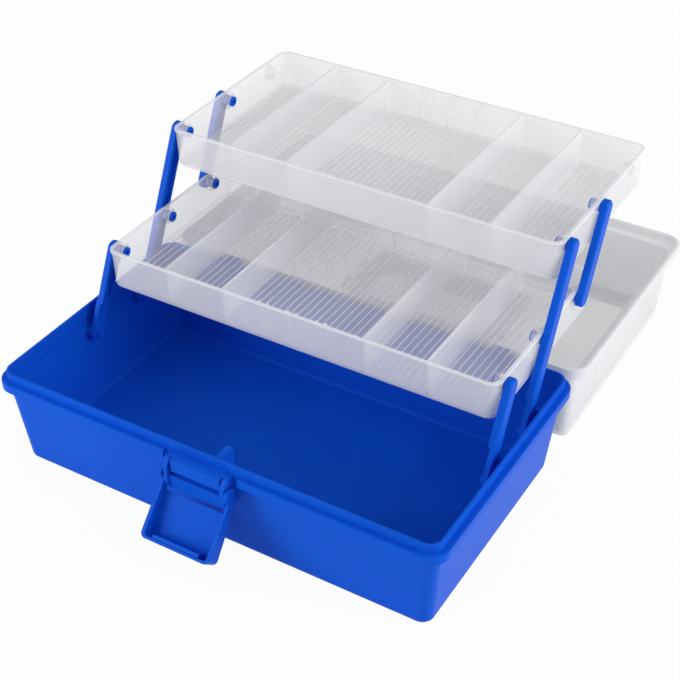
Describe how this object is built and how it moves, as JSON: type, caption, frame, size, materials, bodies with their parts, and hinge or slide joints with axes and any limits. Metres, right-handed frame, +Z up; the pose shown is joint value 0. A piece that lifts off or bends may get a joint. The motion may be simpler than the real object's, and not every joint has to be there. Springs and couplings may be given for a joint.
{
  "type": "cantilever tackle box",
  "caption": "Open cantilever tackle box: a deep bin, two divided see-through trays raised on folding arms, a hinged lid laid back behind and a front latch.",
  "frame": {"origin": "middle of the base bin's flat underside", "axes": "+X along the box to the right, -Y towards the latch, +Z up"},
  "size_m": [0.33, 0.4288, 0.1724],
  "materials": {
    "blue_plastic": "satin",
    "clear_plastic": "frosted",
    "steel": "satin"
  },
  "bodies": {
    "base": {"base_bin": "blue_plastic", "hinge_pin_right": "steel", "hinge_pin_left": "steel"},
    "lid": {"lid": "clear_plastic"},
    "long_arm_right": {"long_arm_right": "blue_plastic"},
    "long_arm_left": {"long_arm_left": "blue_plastic"},
    "front_arm_right": {"front_arm_right": "blue_plastic"},
    "front_arm_left": {"front_arm_left": "blue_plastic"},
    "lower_tray": {"lower_tray": "clear_plastic"},
    "upper_tray": {"upper_tray": "clear_plastic"},
    "rear_arm_right": {"rear_arm_right": "blue_plastic"},
    "rear_arm_left": {"rear_arm_left": "blue_plastic"},
    "latch": {"latch": "blue_plastic"},
    "carry_handle": {"carry_handle": "blue_plastic"}
  },
  "joints": [
    {"name": "lid_hinge", "type": "hinge", "parent": "base", "child": "lid", "pos_m": [0, 0.101, 0.068], "axis": [1, 0, 0], "range_deg": [0, 180]},
    {"name": "long_arm_right_hinge", "type": "hinge", "parent": "base", "child": "long_arm_right", "pos_m": [0, 0.0467, 0.0552], "axis": [1, 0, 0], "range_deg": [0, 86.95]},
    {"name": "long_arm_left_hinge", "type": "hinge", "parent": "base", "child": "long_arm_left", "pos_m": [0, 0.0467, 0.0552], "axis": [1, 0, 0], "range_deg": [0, 86.95]},
    {"name": "front_arm_right_hinge", "type": "hinge", "parent": "base", "child": "front_arm_right", "pos_m": [0, -0.007, 0.0552], "axis": [1, 0, 0], "range_deg": [0, 86.95]},
    {"name": "front_arm_left_hinge", "type": "hinge", "parent": "base", "child": "front_arm_left", "pos_m": [0, -0.007, 0.0552], "axis": [1, 0, 0], "range_deg": [0, 86.95]},
    {"name": "lower_tray_pivot", "type": "hinge", "parent": "long_arm_right", "child": "lower_tray", "pos_m": [0, 0.0735, 0.11066], "axis": [1, 0, 0], "range_deg": [-86.95, 0]},
    {"name": "upper_tray_pivot", "type": "hinge", "parent": "long_arm_right", "child": "upper_tray", "pos_m": [0, 0.1003, 0.16613], "axis": [1, 0, 0], "range_deg": [-86.95, 0]},
    {"name": "rear_arm_right_hinge", "type": "hinge", "parent": "lower_tray", "child": "rear_arm_right", "pos_m": [0, 0.1272, 0.11066], "axis": [1, 0, 0], "range_deg": [0, 86.95]},
    {"name": "rear_arm_left_hinge", "type": "hinge", "parent": "lower_tray", "child": "rear_arm_left", "pos_m": [0, 0.1272, 0.11066], "axis": [1, 0, 0], "range_deg": [0, 86.95]},
    {"name": "latch_hinge", "type": "hinge", "parent": "base", "child": "latch", "pos_m": [0, -0.101, 0.057], "axis": [1, 0, 0], "range_deg": [-150, 0]},
    {"name": "handle_hinge", "type": "hinge", "parent": "lid", "child": "carry_handle", "pos_m": [0, 0.199, 0.003], "axis": [1, 0, 0], "range_deg": [-100, 0]}
  ],
  "couplings": [
    {"joint": "long_arm_right_hinge", "follows": "lid_hinge", "ratio": 0.48029},
    {"joint": "long_arm_left_hinge", "follows": "lid_hinge", "ratio": 0.48029},
    {"joint": "front_arm_right_hinge", "follows": "lid_hinge", "ratio": 0.48029},
    {"joint": "front_arm_left_hinge", "follows": "lid_hinge", "ratio": 0.48029},
    {"joint": "lower_tray_pivot", "follows": "lid_hinge", "ratio": -0.48029},
    {"joint": "upper_tray_pivot", "follows": "lid_hinge", "ratio": -0.48029},
    {"joint": "rear_arm_right_hinge", "follows": "lid_hinge", "ratio": 0.48029},
    {"joint": "rear_arm_left_hinge", "follows": "lid_hinge", "ratio": 0.48029}
  ]
}
